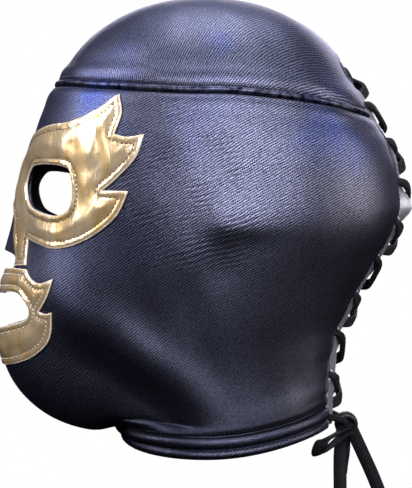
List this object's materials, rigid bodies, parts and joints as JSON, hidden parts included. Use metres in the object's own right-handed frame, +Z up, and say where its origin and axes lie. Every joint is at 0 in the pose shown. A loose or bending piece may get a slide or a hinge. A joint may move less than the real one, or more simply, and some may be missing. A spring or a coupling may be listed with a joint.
{
  "type": "luchador mask",
  "caption": "Full-head wrestler's hood of black satin with gold facings round the eyes, nose and mouth, a stitched neck band and a laced slit at the back.",
  "frame": {"origin": "inside of the crown at its top, where the hood sits on the head", "axes": "+Z up; the face looks along -Y; +X is the wearer's left"},
  "size_m": [0.1632, 0.226, 0.2849],
  "materials": {
    "satin": "black stretch satin with a fine twill and a violet-blue sheen",
    "gold_vinyl": "metallic gold vinyl on a cloth backing, glossy, stitched near its edges",
    "silver_vinyl": "metallic silver-grey vinyl with pale stitching",
    "braid": "black flat braided lace, matt with a slight sheen"
  },
  "bodies": {
    "root": {"crown_panel": "satin", "side_panel_left": "satin", "side_panel_right": "satin", "crown_piping": "satin", "neck_band": "satin", "eye_surround": "gold_vinyl", "mouth_surround": "gold_vinyl", "lacing_strip_left": "silver_vinyl", "lacing_strip_right": "silver_vinyl", "lace": "braid", "lace_bow": "braid", "lace_tail_left": "braid", "lace_tail_right": "braid"}
  },
  "joints": []
}
